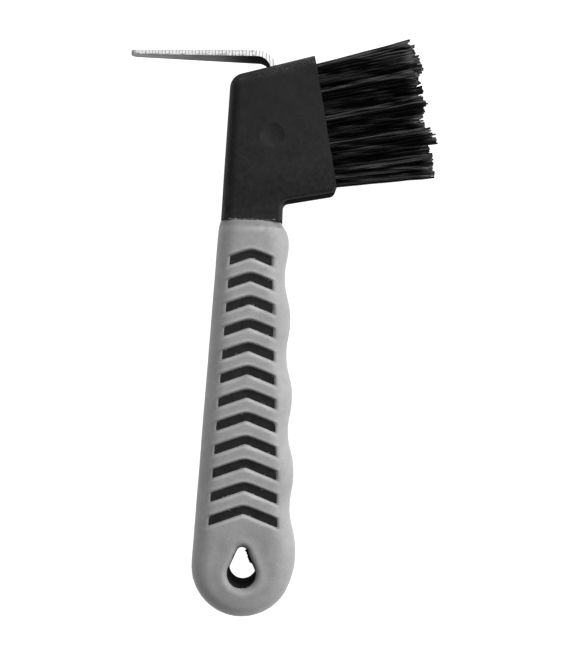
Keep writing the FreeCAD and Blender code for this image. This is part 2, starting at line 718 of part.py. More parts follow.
def boolean(kind, name, base, tool):
    """A cut of one object by another."""
    result = doc.addObject(kind, name)
    result.Label = name
    result.Base = base
    result.Tool = tool
    return result


def brush():
    """Every tuft with its anchor, row by row; a shorter row stands half a pitch off the others."""
    tufts, anchors = [], []
    for row, side, fewer in ROWS:
        count = int(size("tufts_per_outer_row")) - fewer
        for index in range(count):
            offset = index - (count - 1) / 2
            tuft_name = f"bristle_tuft_{row}_{index + 1}"
            anchor = tuft_anchor(f"tuft_anchor_{row}_{index + 1}", side, offset)
            body = tuft_body(tuft_name, side, offset)
            tufts.append(boolean("Part::Cut", tuft_name, body, anchor))
            anchors.append(anchor)
    return tufts, anchors


def centre_on_frame(pieces):
    """Measure the whole object, and shift it so that it stands on Z = 0 about X = Y = 0."""
    whole = FreeCAD.BoundBox()
    for piece in pieces:
        whole.add(piece.Shape.optimalBoundingBox(False, False))
    for alias, shift in (("frame_x", whole.Center.x), ("frame_y", whole.Center.y), ("frame_z", whole.ZMin)):
        cell = sheet.getCellFromAlias(alias)
        sheet.set(cell, f"{shift:.4f}")
    doc.recompute()
    print("frame at", size("frame_x"), size("frame_y"), size("frame_z"))


def check_and_write(pieces):
    """Stop on any failed object or bad shape, and write one STEP file for each piece."""
    for item in doc.Objects:
        if "Invalid" in item.State or "Error" in item.State:
            raise RuntimeError(f"{item.Label}: {item.State}")
    for piece in pieces:
        shape = piece.Shape
        if shape.isNull() or not shape.isValid() or len(shape.Solids) != 1:
            raise RuntimeError(f"{piece.Label}: not one valid solid")
    os.makedirs("parts", exist_ok=True)
    for piece in pieces:
        piece.Shape.exportStep(f"parts/{piece.Label}.step")
        print(f"{piece.Label}: {piece.Shape.Volume:.1f} mm3")


fill_sheet()
core = boolean("Part::Fuse", "core", head_body(), shank_body())
sleeve = boolean("Part::Cut", "grip_sleeve", sleeve_body(), core)
pick = pick_body()
tufts, anchors = brush()
inserts = doc.addObject("Part::MultiFuse", "inserts")
inserts.Shapes = [pick, *tufts, *anchors]
handle = boolean("Part::Cut", "handle_core", core, inserts)
pieces = [handle, sleeve, pick, *tufts, *anchors]
doc.recompute()
centre_on_frame(pieces)
check_and_write(pieces)
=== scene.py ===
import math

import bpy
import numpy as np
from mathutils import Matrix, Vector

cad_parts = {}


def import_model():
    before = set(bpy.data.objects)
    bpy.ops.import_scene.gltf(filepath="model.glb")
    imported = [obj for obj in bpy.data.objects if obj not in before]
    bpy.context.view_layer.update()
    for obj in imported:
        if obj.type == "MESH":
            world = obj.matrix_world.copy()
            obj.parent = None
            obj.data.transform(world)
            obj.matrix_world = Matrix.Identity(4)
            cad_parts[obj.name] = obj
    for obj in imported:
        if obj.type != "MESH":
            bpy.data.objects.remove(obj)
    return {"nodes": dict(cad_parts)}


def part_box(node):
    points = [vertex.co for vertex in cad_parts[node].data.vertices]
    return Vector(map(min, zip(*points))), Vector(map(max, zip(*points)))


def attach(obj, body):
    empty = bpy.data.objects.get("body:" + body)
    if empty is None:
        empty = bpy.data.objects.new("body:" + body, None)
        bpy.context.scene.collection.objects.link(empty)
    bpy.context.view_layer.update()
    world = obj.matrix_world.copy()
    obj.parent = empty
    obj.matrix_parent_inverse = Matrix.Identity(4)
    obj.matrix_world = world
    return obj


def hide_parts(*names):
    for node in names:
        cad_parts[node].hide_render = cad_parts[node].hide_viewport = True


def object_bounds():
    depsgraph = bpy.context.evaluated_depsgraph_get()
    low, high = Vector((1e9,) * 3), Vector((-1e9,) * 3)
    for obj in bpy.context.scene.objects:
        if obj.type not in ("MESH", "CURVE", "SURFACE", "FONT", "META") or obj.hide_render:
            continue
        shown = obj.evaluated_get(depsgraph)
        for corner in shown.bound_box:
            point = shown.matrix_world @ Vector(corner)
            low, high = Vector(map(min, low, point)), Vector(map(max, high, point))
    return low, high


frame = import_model()

# The looks of a hoof pick with a brush, which lies on its side on a pale floor. The hard core and the
# steel pick are the frame's own parts with detailed materials. The soft sleeve is sculpted as a
# distance field and meshed, and each bristle tuft is a bundle of separate filaments.

import openvdb
from mathutils import Vector

cad_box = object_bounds()
MM = 0.001
BODY = "root"
FAR = 1e9

# Sizes in millimetres on the design axes: +Y up the handle from the centre of its round end, +X to
# the brush, and Z = 0 halfway through the thickness. A name that ends in HALF is half a thickness
# or half a width.

# The sleeve's outline, its faces and the lip at its top
END_RADIUS = 16.6
SIDE_TAPER = math.radians(2.9)
GRIP_TOP = 112.95
GRIP_HALF = 9.5
GRIP_ROUNDING = 6.5
GROOVE_START = 12.15
GROOVE_DEPTH = 1.6
GROOVE_INSET = -0.2
WAVES = 8               # finger grooves, and the swells between them
BEYOND_TOP = 12.0       # how far an outline runs on past the top
LIP_HEIGHT = 2.4
LIP_INSET = 0.62
CROWN = 0.9             # how far the domed face falls away at the sides

# The core inside the sleeve
SIDE_WALL = 2.4
SHANK_HALF = 7.8
SHANK_ROUNDING = 4.5
NECK_BACK = -10.25
NECK_FRONT = 9.8
NECK_HALF = 8.6
NECK_START = 112.75
NECK_ROUNDING = 3.0
LAND_HALF = 8.4
CORE_OVERLAP = 0.12     # how far the sleeve reaches into the core, so that no gap shows

# The windows
WINDOW_COUNT = 12
WINDOW_PITCH = 7.53
WINDOW_HEIGHT = 3.0
WINDOW_SLOPE = math.radians(21.0)
WINDOW_TOP = 103.45
WINDOW_INSET = 4.8
WINDOW_CORNER = 0.15    # rounding where an arm's edge meets its end
UPPER_BEND = 1.6        # rounding of the point in the upper edge, and in the lower edge
LOWER_BEND = 0.35
NOSE_RISE = 0.12        # how far the rounded upper point stands up
ARM_FALL = 5.0          # from a window's point down to about the ends of its arms
WALL_DRAFT = 0.35       # slope of the window's long walls, and of the walls at its ends
END_DRAFT = 1.3

# The hanging hole
HOLE_RADIUS = 4.5
HOLE_TIP_RADIUS = 1.75
HOLE_LOW = -1.85
HOLE_HIGH = 5.1
HOLE_LIP = 0.2
HOLE_WALL_TOP = 9.0     # nothing of the core's hole lies above this height
FILM_FACES = (3.0, 3.4)
FILM_SUNK = 0.3         # how far the film of flash reaches into the wall

# The head, by the back of its top edge and the two ends of its bristle face
HEAD_BACK = (-8.4, 159.45)
FACE_TOP = (18.6, 166.95)
FACE_LOW = (27.26, 122.79)

# The pick
PICK_TIP_X = -41.6
PICK_BEND_X = 0.1
PICK_HALF = 6.25
PICK_TIP_HALF = 2.75
PICK_ARM_Y = 167.25
SHEAR_PITCH = 1.1 * MM  # from one line across a sheared edge to the next, in metres
EDGE_BEVEL = 0.12

# The bristles
FILAMENTS = 35
FILAMENT_RADIUS = 0.37
FILAMENT_POINTS = 10
FILAMENT_SIDES = 6
INSIDE_HOLE = 4.0       # length of a filament that is modelled inside its hole
TUFT_HOLE_DEPTH = 9.0
TUFT_RADIUS = 2.5
TUFT_TIP_RADIUS = 3.6
CLUMPS = 5
CLUMP_PULL = 0.22       # how far a filament's tip leans from its own place to its clump's middle
GOLDEN_ANGLE = 2.39996


def design_origin():
    """The design axes' origin in the frame, from the sleeve: its round end touches the lowest X and Y."""
    low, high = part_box("grip_sleeve")
    x = low.x + END_RADIUS * MM
    y = low.y + END_RADIUS * MM
    return Vector((x, y, (low.z + high.z) / 2))


ORIGIN = design_origin()


def frame_x(x):
    """A place across the handle, from design millimetres to the frame's metres."""
    return ORIGIN.x + x * MM


def frame_y(y):
    """A height up the handle, from design millimetres to the frame's metres."""
    return ORIGIN.y + y * MM


# ---------------------------------------------------------------- meshes


def new_piece(name, points, faces, material, smooth=True):
    """A mesh object from points in metres, riding on the one body."""
    mesh = bpy.data.meshes.new(name)
    mesh.from_pydata(points, [], faces)
    mesh.update()
    if smooth:
        mesh.shade_smooth()
    piece = bpy.data.objects.new(name, mesh)
    bpy.context.scene.collection.objects.link(piece)
    mesh.materials.append(material)
    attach(piece, BODY)
    return piece


# ---------------------------------------------------------------- distance fields, in millimetres


def smooth_max(a, b, blend):
    """The larger of two fields, with the corner between them rounded over."""
    gap = np.maximum(blend - np.abs(a - b), 0.0) / blend
    return np.maximum(a, b) + gap * gap * blend * 0.25


def bell(distance, middle, width):
    """1 at the middle distance, falling smoothly to 0 about two widths away on either side."""
    return np.exp(-((distance - middle) / width) ** 2)


def arc_points(start, end, radius, bulge, count):
    """Points from start up to but not at end, on the shorter arc; a positive bulge lies to the right."""
    start, end = np.array(start), np.array(end)
    chord = end - start
    length = np.hypot(*chord)
    right = np.array([chord[1], -chord[0]]) / length
    rise = math.sqrt(radius * radius - length * length / 4)
    centre = (start + end) / 2 - right * rise * bulge
    first = math.atan2(*(start - centre)[::-1])
    turn = 2 * math.asin(length / (2 * radius)) * bulge
    angles = first + turn * np.arange(count) / count
    return [centre + radius * np.array([math.cos(a), math.sin(a)]) for a in angles]


def side_x(y, inset=0.0):
    """The grip's straight side at a height, less an inset."""
    return (END_RADIUS - inset) / math.cos(SIDE_TAPER) - y * math.tan(SIDE_TAPER)


def grip_outline():
    """The sleeve's outline from above: round end, swell, finger grooves and straight back."""
    end_steps, swell_steps, wave_steps = 40, 20, 14
    step = (GRIP_TOP - GROOVE_START) / WAVES
    heights = [GROOVE_START + step * index for index in range(WAVES + 1)]
    crossings = [(side_x(y, GROOVE_INSET), y) for y in heights]
    chord = step / math.cos(SIDE_TAPER)
    radius = chord * chord / (4 * GROOVE_DEPTH) + GROOVE_DEPTH / 4
    swell, joint = swell_circle(crossings[0], radius, chord)
    back_low = (-END_RADIUS * math.cos(SIDE_TAPER), END_RADIUS * math.sin(SIDE_TAPER))
    bottom = (0.0, -END_RADIUS)
    points = arc_points(back_low, bottom, END_RADIUS, 1, end_steps)
    points += arc_points(bottom, joint, END_RADIUS, 1, end_steps)
    points += arc_points(joint, crossings[0], swell, 1, swell_steps)
    for index in range(WAVES):
        bulge = -1 if index % 2 == 0 else 1
        points += arc_points(crossings[index], crossings[index + 1], radius, bulge, wave_steps)
    front, back = crossings[-1][0], -side_x(GRIP_TOP)
    points.append(np.array(crossings[-1]))
    # The outline runs on past the top, where a plane cuts the sleeve off square
    points.append(np.array((front, GRIP_TOP + BEYOND_TOP)))
    points.append(np.array((back, GRIP_TOP + BEYOND_TOP)))
    points.append(np.array((back, GRIP_TOP)))
    return np.array(points)


def swell_circle(crossing, wave_radius, chord):
    """Radius of the swell that is tangent to the lowest groove and to the round end, and the point
    where it meets the round end."""
    half_turn = math.asin(chord / (2 * wave_radius))
    lean = SIDE_TAPER + half_turn
    normal = np.array([math.cos(lean), math.sin(lean)])
    start = np.array(crossing)
    # |start - r n| = r - END_RADIUS, which is linear in r because n is a unit vector
    radius = (start @ start - END_RADIUS ** 2) / (2 * (start @ normal - END_RADIUS))
    centre = start - radius * normal
    joint = -centre / np.hypot(*centre) * END_RADIUS
    return radius, joint


def shank_outline():
    """The shank's outline under the sleeve."""
    end_steps = 40
    radius = END_RADIUS - SIDE_WALL
    front_low = np.array([radius * math.cos(SIDE_TAPER), radius * math.sin(SIDE_TAPER)])
    back_low = front_low * (-1, 1)
    bottom = (0.0, -radius)
    top = GRIP_TOP + BEYOND_TOP
    front = side_x(top, SIDE_WALL)
    points = arc_points(back_low, bottom, radius, 1, end_steps)
    points += arc_points(bottom, front_low, radius, 1, end_steps)
    points += [front_low, np.array([front, top]), np.array([-front, top])]
    return np.array(points)


def outline_distance(points, x, y):
    """Signed distance to a closed outline that runs anticlockwise, negative inside."""
    best = np.full(x.shape, FAR)
    inside = np.zeros(x.shape, bool)
    for (ax, ay), (bx, by) in zip(points, np.roll(points, -1, axis=0)):
        ex, ey = bx - ax, by - ay
        along = np.clip(((x - ax) * ex + (y - ay) * ey) / (ex * ex + ey * ey), 0, 1)
        best = np.minimum(best, (x - ax - along * ex) ** 2 + (y - ay - along * ey) ** 2)
        crosses = (ay > y) != (by > y)
        if ay != by:
            inside ^= crosses & (x < ax + (y - ay) * ex / ey)
    return np.where(inside, -1, 1) * np.sqrt(best)


def rounded_slab(flat, z, half, rounding):
    """An outline's distance field given a thickness, with its long edges rounded."""
    side = flat + rounding
    face = np.abs(z) - half + rounding
    outside = np.hypot(np.maximum(side, 0), np.maximum(face, 0))
    return outside + np.minimum(np.maximum(side, face), 0) - rounding


def teardrop_distance(x, y):
    """Signed distance to the hanging hole's outline, negative in the hole."""
    height = HOLE_HIGH - HOLE_LOW
    lean = (HOLE_RADIUS - HOLE_TIP_RADIUS) / height
    rise = math.sqrt(1 - lean * lean)
    px, py = np.abs(x), y - HOLE_LOW
    along = py * rise - px * lean
    low = np.hypot(px, py) - HOLE_RADIUS
    high = np.hypot(px, py - height) - HOLE_TIP_RADIUS
    flank = px * rise + py * lean - HOLE_RADIUS
    return np.where(along < 0, low, np.where(along > height * rise, high, flank))


def window_distances(x, y):
    """Distances to the windows' bent bands and to the line of their ends, negative inside; then to
    the nearest upper edge and the nearest lower edge, positive on the rubber."""
    slope, square = math.tan(WINDOW_SLOPE), math.cos(WINDOW_SLOPE)
    past_edge = 0.6
    over, under, band = [np.full(x.shape, FAR) for _ in range(3)]
    for index in range(WINDOW_COUNT):
        apex = WINDOW_TOP - index * WINDOW_PITCH
        upper_edge = apex + NOSE_RISE - slope * np.hypot(x, UPPER_BEND)
        lower_edge = apex - WINDOW_HEIGHT - slope * (np.hypot(x, LOWER_BEND) - LOWER_BEND)
        above = (y - upper_edge) * square
        below = (lower_edge - y) * square
        band = np.minimum(band, smooth_max(above, below, WINDOW_CORNER))
        over = np.minimum(over, np.where(above > -past_edge, above, FAR))
        under = np.minimum(under, np.where(below > -past_edge, below, FAR))
    end_line = side_x(0.0) - WINDOW_INSET - y * math.tan(SIDE_TAPER)
    ends = (np.abs(x) - end_line) * math.cos(SIDE_TAPER)
    return band, ends, over, under


def ripple(x, y, z, rng, size):
    """Smooth random waves of about this size, mostly between -1 and 1."""
    count, usual_peak = 24, 1.5
    total = np.zeros(np.broadcast(x, y, z).shape, np.float32)
    for _ in range(count):
        direction = rng.normal(size=3)
        direction *= 2 * math.pi / size / np.linalg.norm(direction) * rng.uniform(0.6, 1.4)
        phase = rng.uniform(0, 2 * math.pi)
        total += np.sin(direction[0] * x + direction[1] * y + direction[2] * z + phase)
    return total / math.sqrt(count) / usual_peak


def near_face(z):
    """0 in the middle of the sleeve's thickness, rising to 1 near its two faces."""
    start, reach = 4.0, 4.0
    return np.clip((np.abs(z) - start) / reach, 0, 1)


def sleeve_form(x, y, z, hole, rng):
    """The sleeve's outer form: a domed face, a raised collar and a trough round the hanging hole,
    slow ripples, and a pinch at the top of the brush's side."""
    flat = outline_distance(grip_outline(), x[..., 0], y[..., 0])[..., None]
    form = rounded_slab(flat, z, GRIP_HALF, GRIP_ROUNDING)
    fade_in, fade_out = 30, 20
    crown = CROWN * (x / END_RADIUS) ** 2 * np.clip(y / fade_in, 0, 1)
    crown = crown * np.clip((GRIP_TOP - y) / fade_out, 0, 1)
    collar_height, trough_depth, ripple_height = 0.10, 0.16, 0.03
    collar = collar_height * bell(hole, 2.1, 0.9)
    trough = trough_depth * bell(hole, 4.2, 1.5)
    ripples = ripple_height * ripple(x, y, z, rng, 14.0)
    form = form + (crown + trough - collar) * near_face(z) + ripples
    pinch_depth, pinch_start, pinch_height, pinch_width = 0.85, 7.2, 4.6, 8
    pinch = np.clip((y - GRIP_TOP + pinch_start) / pinch_height, 0, 1.2) ** 2
    return form + pinch_depth * pinch * np.clip(x / pinch_width, 0, 1) ** 2


def with_lip(form, x, y, z, rng):
    """The form with a lip that slopes in at its top, and a ragged edge that ends it."""
    slope = LIP_INSET / LIP_HEIGHT
    lip = (form + slope * (y - GRIP_TOP + LIP_HEIGHT)) / math.hypot(1, slope)
    lip_blend, raggedness, set_back = 0.45, 0.12, 0.15
    form = smooth_max(form, lip, lip_blend)
    fine, slow = [ripple(x, 0 * y, z, rng, size) for size in (2.6, 9.0)]
    return np.maximum(form, y - GRIP_TOP + set_back + (raggedness * fine + raggedness * slow))


def with_windows(form, x, y, z, rng):
    """The form with raised rims above and below each window, and the windows cut down to the lands.
    Their walls slope, and are nibbled here and there."""
    band, ends, over, under = window_distances(x, y)
    rim_reach, rim_blend = 1.5, 0.55
    upper_rim, lower_rim = 0.09, 0.07
    between_ends = np.clip((rim_reach - ends) / rim_reach, 0, 1) * near_face(z)
    form = form - upper_rim * between_ends * bell(over, 0.85, 0.4)
    form = form - lower_rim * between_ends * bell(under, 0.6, 0.4)
    grainy, patchy = [ripple(x, y, z, rng, size) for size in (1.3, 1.6)]
    nibble = 0.05 * grainy + 0.35 * np.maximum(patchy - 0.75, 0)
    over_land = np.abs(z) - LAND_HALF
    long_walls = band - WALL_DRAFT * over_land + nibble
    end_walls = ends - END_DRAFT * over_land + nibble
    pocket = smooth_max(long_walls, end_walls, WINDOW_CORNER)
    above_shank = 0.15
    pocket = np.maximum(pocket, SHANK_HALF + above_shank - np.abs(z))
    return smooth_max(form, -pocket, rim_blend)


def core_field(x, y, z):
    """The shank and the start of the neck, which fill the sleeve."""
    flat = outline_distance(shank_outline(), x[..., 0], y[..., 0])[..., None]
    shank = rounded_slab(flat, z, SHANK_HALF, SHANK_ROUNDING)
    beside_neck = np.maximum(NECK_BACK - x, x - NECK_FRONT)
    neck = rounded_slab(np.maximum(beside_neck, NECK_START - y), z, NECK_HALF, NECK_ROUNDING)
    return np.minimum(shank, neck)


def sleeve_field(x, y, z):
    """The soft sleeve: its outer form with the lip, less the windows, the hole and the core."""
    rng = np.random.default_rng(7)
    hole = teardrop_distance(x, y)
    form = sleeve_form(x, y, z, hole, rng)
    form = with_lip(form, x, y, z, rng)
    form = with_windows(form, x, y, z, rng)
    unevenness, rolled_edge = 0.1, 2.2
    form = smooth_max(form, HOLE_LIP - hole + unevenness * ripple(x, y, z, rng, 3.0), rolled_edge)
    core = core_field(x, y, z) + CORE_OVERLAP
    return np.maximum(form, -core)


def sculpt_sleeve(material):
    """Mesh the sleeve's field and put it in place of the plain CAD sleeve."""
    voxel = 0.36
    band_width = 3 * voxel
    margin = 2 * voxel
    low = np.array([-END_RADIUS - margin, -END_RADIUS - margin, -GRIP_HALF - 1.0])
    high = np.array([END_RADIUS + 1.0 + margin, GRIP_TOP + margin, GRIP_HALF + 1.0])
    counts = np.ceil((high - low) / voxel).astype(int) + 1
    axes = [low[i] + voxel * np.arange(counts[i]) for i in range(3)]
    x, y, z = np.meshgrid(*axes, indexing="ij")
    field = sleeve_field(x, y, z).astype(np.float32)
    grid = openvdb.FloatGrid(band_width)
    grid.copyFromArray(np.clip(field, -band_width, band_width))
    grid.transform = openvdb.createLinearTransform(voxel)
    points, triangles, quads = grid.convertToPolygons(0.0, 0.02)
    points = (points + low) * MM + np.array(ORIGIN)
    faces = [tuple(face[::-1]) for face in triangles.tolist()]
    faces += [tuple(face[::-1]) for face in quads.tolist()]
    sleeve = new_piece("soft_sleeve", points.tolist(), faces, material)
    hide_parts("grip_sleeve")
    design = (points - np.array(ORIGIN)) / MM
    # Painted shade and painted highlights for the rubber's colour, stored on the sleeve's points
    for name, tone in zip(("painted_shade", "painted_highlight"), sleeve_tones(*design.T)):
        layer = sleeve.data.attributes.new(name, "FLOAT", "POINT")
        layer.data.foreach_set("value", tone.astype(np.float32))


def painted_shade_marks(x, y, windows, outer, hole, patchy):
    """Painted shade: darker rubber at the windows' edges and ends, on the lip, beside the hanging hole and
    below it, where shade falls.
    """
    band, ends, over, _ = windows
    between_ends = np.clip((1.4 - ends) / 0.8, 0, 1)
    beside = np.clip((over + 0.2) / 0.2, 0, 1) * bell(over, 0.0, 0.4) * between_ends
    at_end = bell(ends, 0.0, 0.9) * np.clip((0.7 - band) / 0.7, 0, 1)
    at_windows = np.maximum(0.6 * beside, at_end * np.where(x > 0, 0.5, 0.8)) * outer
    on_lip = np.clip((y - GRIP_TOP + LIP_HEIGHT + 0.1) / 0.4, 0, 1)
    beside_hole = bell(np.abs(x), 6.6, 1.6) * bell(y, 6.0, 4.0) * patchy
    below_hole = bell(hole, 4.4, 1.2) * np.clip((6 - y) / 6, 0, 1) * patchy
    return np.maximum.reduce([at_windows, 0.42 * on_lip, 0.30 * beside_hole, 0.22 * below_hole])


def painted_highlight_marks(x, y, windows, outer, hole, patchy):
    """Painted highlights: paler rubber along the rims of the windows, just below the lip, and on the
    hole's lower rim, where the rims catch the light.
    """
    _, ends, over, under = windows
    between_ends = np.clip((1.4 - ends) / 0.8, 0, 1)
    middle = bell(x, 0.0, 8.0)
    upper_rim = bell(over, 0.9, 0.35) * (0.4 + 0.6 * middle)
    lower_rim = bell(under, 0.55, 0.45) * (0.45 + 0.55 * middle)
    rims = np.maximum(upper_rim, lower_rim) * between_ends * outer
    below_lip = bell(y, GRIP_TOP - LIP_HEIGHT - 0.4, 0.22) * np.clip((x + 4) / 6, 0.25, 1)
    hole_rim = bell(hole, 1.9, 0.8) * bell(x, 0.5, 3.0) * (y < -4)
    return np.maximum.reduce([rims, 0.7 * below_lip, 0.5 * hole_rim]) * patchy


def sleeve_tones(x, y, z):
    """Where shade is painted darker and where highlights are painted paler on the rubber, each from 0 to
    1.
    """
    patchy = 0.8 + 0.4 * ripple(x, y, z, np.random.default_rng(3), 6.0)
    windows = window_distances(x, y)
    outer = np.clip((np.abs(z) - LAND_HALF + 0.5) / 0.5, 0, 1)
    hole = teardrop_distance(x, y)
    painted_shade = painted_shade_marks(x, y, windows, outer, hole, patchy)
    painted_highlight = painted_highlight_marks(x, y, windows, outer, hole, patchy)
    return np.clip(painted_shade, 0, 1), np.clip(painted_highlight, 0, 1)


def window_point(index, side, upper, share):
    """A point on the edge of a window, a share of the way out along its left or right arm."""
    apex = WINDOW_TOP - index * WINDOW_PITCH - (0.0 if upper else WINDOW_HEIGHT)
    reach = side_x(apex - ARM_FALL, WINDOW_INSET)
    x = side * share * reach
    return x, apex - abs(x) * math.tan(WINDOW_SLOPE)


def speck_places(rng):
    """The middle of each crumb of flash and its size along the three axes: a few at the edges of
    each window, mostly on the brush's side, and a ragged row along the lip."""
    places = []
    above_land, above_neck, row_pitch = 0.03, 0.06, 0.5
    for face in (1, -1):
        for index in range(WINDOW_COUNT):
            for _ in range(rng.integers(5, 12)):
                side = 1 if rng.uniform() < 0.7 else -1
                x, y = window_point(index, side, rng.uniform() < 0.4, rng.uniform(0.1, 1.0))
                y += rng.uniform(-0.3, 0.5)
                size = rng.uniform(0.1, 0.3)
                places.append(((x, y, face * (LAND_HALF + above_land)), (size, size, 0.7 * size)))
        for x in np.arange(NECK_BACK + 3.0, NECK_FRONT - 2.5, row_pitch):
            size = rng.uniform(0.07, 0.17)
            place = (x, GRIP_TOP + 0.05 + rng.normal(0, 0.08), face * (NECK_HALF + above_neck))
            places.append((place, (size * rng.uniform(1.5, 4), size, size)))
    return places


def flash_specks(material):
    """The crumbs of rubber flash, each a small crooked octahedron."""
    rng = np.random.default_rng(5)
    corners = [(1, 0, 0), (-1, 0, 0), (0, 1, 0), (0, -1, 0), (0, 0, 1), (0, 0, -1)]
    sides = [(0, 2, 4), (2, 1, 4), (1, 3, 4), (3, 0, 4), (2, 0, 5), (1, 2, 5), (3, 1, 5), (0, 3, 5)]
    points, faces = [], []
    for place, size in speck_places(rng):
        first = len(points)
        crumb = np.array(corners) * size * rng.uniform(0.5, 1.3, (6, 1))
        points += ((crumb + place) * MM + np.array(ORIGIN)).tolist()
        faces += [tuple(first + i for i in side) for side in sides]
    new_piece("flash_specks", points, faces, material, smooth=False)


def film_outline(steps):
    """The outline of the film of flash: down the hole's wall, then back along its ragged edge."""
    rng = np.random.default_rng(11)
    lean = math.asin((HOLE_RADIUS - HOLE_TIP_RADIUS) / (HOLE_HIGH - HOLE_LOW))
    out = np.array([math.cos(lean), math.sin(lean)])
    top = np.array([0, HOLE_HIGH]) + out * (HOLE_TIP_RADIUS + FILM_SUNK)
    low = np.array([0, HOLE_LOW]) + out * (HOLE_RADIUS + FILM_SUNK)
    in_wall, ragged = [], []
    width, narrowest, widest = 0.6, 0.35, 1.1
    for index in range(steps + 1):
        share = index / steps
        base = top + (low - top) * share
        width = float(np.clip(width + rng.normal(0, 0.25), narrowest, widest))
        fade = min(1.0, 8 * share + 0.35, 6 * (1 - share) + 0.3)
        in_wall.append(base)
        ragged.append(base - out * (FILM_SUNK + width * fade))
    return np.array(in_wall + ragged[::-1])


def hole_flash(material):
    """The ragged film of flash down one flank of the hanging hole, under the upper rim."""
    steps = 26
    outline = film_outline(steps)
    count = len(outline)
    points = [(x, y, z) for z in FILM_FACES for x, y in outline]
    points = (np.array(points) * MM + np.array(ORIGIN)).tolist()
    faces = []
    for index in range(steps):
        a, b, c, d = index, index + 1, count - 2 - index, count - 1 - index
        faces.append((a, b, c, d))
        faces.append((d + count, c + count, b + count, a + count))
    for index in range(count):
        after = (index + 1) % count
        faces.append((after, index, index + count, after + count))
    new_piece("hole_flash", points, faces, material, smooth=False)


# ---------------------------------------------------------------- bristles


def tuft_axis(node):
    """The middle of a tuft's root end and of its tip end, in metres, from the CAD solid."""
    rim_depth = 0.6 * MM
    points = np.array([v.co for v in frame["nodes"][node].data.vertices])
    centre = points.mean(axis=0)
    direction = np.linalg.svd(points - centre, full_matrices=False)[2][0]
    direction *= np.sign(direction[0])
    along = (points - centre) @ direction
    ends = []
    for limit in (along.min(), along.max()):
        rim = points[np.abs(along - limit) < rim_depth]
        ends.append((rim.min(axis=0) + rim.max(axis=0)) / 2)
    return ends


def tube(path, radius, sides, turn):
    """Points and faces of a thin tube with cut ends along a path."""
    forward = np.gradient(path, axis=0)
    forward /= np.linalg.norm(forward, axis=1, keepdims=True)
    across = np.cross(forward, (0.0, 0.3, 1.0))
    across /= np.linalg.norm(across, axis=1, keepdims=True)
    other = np.cross(forward, across)
    angles = turn + 2 * math.pi * np.arange(sides) / sides
    cosine, sine = np.cos(angles)[None, :, None], np.sin(angles)[None, :, None]
    ring = cosine * across[:, None] + sine * other[:, None]
    points = path[:, None] + ring * radius
    faces = []
    for i in range(len(path) - 1):
        for j in range(sides):
            k = (j + 1) % sides
            faces.append((i * sides + j, i * sides + k, (i + 1) * sides + k, (i + 1) * sides + j))
    faces.append(tuple(range(sides))[::-1])
    faces.append(tuple((len(path) - 1) * sides + j for j in range(sides)))
    return points.reshape(-1, 3), faces


def spiral_place(index, count, reach, rng):
    """The place of one of many spread evenly over a disc, on a spiral."""
    turn = index * GOLDEN_ANGLE + rng.normal(0, 0.2)
    return reach * math.sqrt((index + 0.5) / count) * np.array([math.cos(turn), math.sin(turn)])


def filament_path(face, axes, place, tip_place, length, rng):
    """One filament: from its place in the hole to its place at the tip, with a slow wander."""
    axis, across, other = axes
    along = np.linspace(-INSIDE_HOLE, length, FILAMENT_POINTS)
    share = np.clip(along, 0, None) / length
    wave, phase = rng.uniform(0.05, 0.16, 2), rng.uniform(0, 2 * math.pi, 2)
    turns = 2 * math.pi * along / rng.uniform(10, 18)
    path = face + along[:, None] * axis
    for side, direction in enumerate((across, other)):
        ease = share ** 1.25
        offset = place[side] * (1 - ease) + tip_place[side] * ease
        path = path + (offset + wave[side] * share * np.sin(turns + phase[side]))[:, None] * direction
    return path


def bristle_tuft(node, material, rng):
    """A bundle of filaments in the place of one CAD tuft. Its filaments draw together into a few
    clumps towards their tips."""
    root, tip = [end / MM for end in tuft_axis(node)]
    axis = (tip - root) / np.linalg.norm(tip - root)
    across = np.cross(axis, (0.0, 0.0, 1.0))
    across /= np.linalg.norm(across)
    other = np.cross(across, axis)
    face = root + axis * TUFT_HOLE_DEPTH
    free = float(np.linalg.norm(tip - face)) + rng.normal(0, 0.5)
    clumps = [spiral_place(i, CLUMPS, 0.8, rng) for i in range(CLUMPS)]
    clump_lengths = rng.normal(0, 0.7, CLUMPS)
    points, faces = [], []
    for index in range(FILAMENTS):
        place = spiral_place(index, FILAMENTS, 0.9, rng)
        nearest = int(np.argmin([np.hypot(*(place - clump)) for clump in clumps]))
        tip_place = place + CLUMP_PULL * (clumps[nearest] - place)
        tip_place = tip_place * TUFT_TIP_RADIUS + rng.normal(0, 0.4, 2)
        length = free + clump_lengths[nearest] + rng.normal(0, 0.22)
        path = filament_path(face, (axis, across, other), place * TUFT_RADIUS, tip_place, length, rng)
        radius = FILAMENT_RADIUS * rng.uniform(0.88, 1.08)
        new_points, new_faces = tube(path, radius, FILAMENT_SIDES, rng.uniform(0, 1))
        faces += [tuple(i + len(points) for i in f) for f in new_faces]
        points += new_points.tolist()
    points = np.array(points) * MM
    piece = new_piece(node.replace("bristle_tuft", "bristles"), points.tolist(), faces, material)
    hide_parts(node)


# ---------------------------------------------------------------- materials


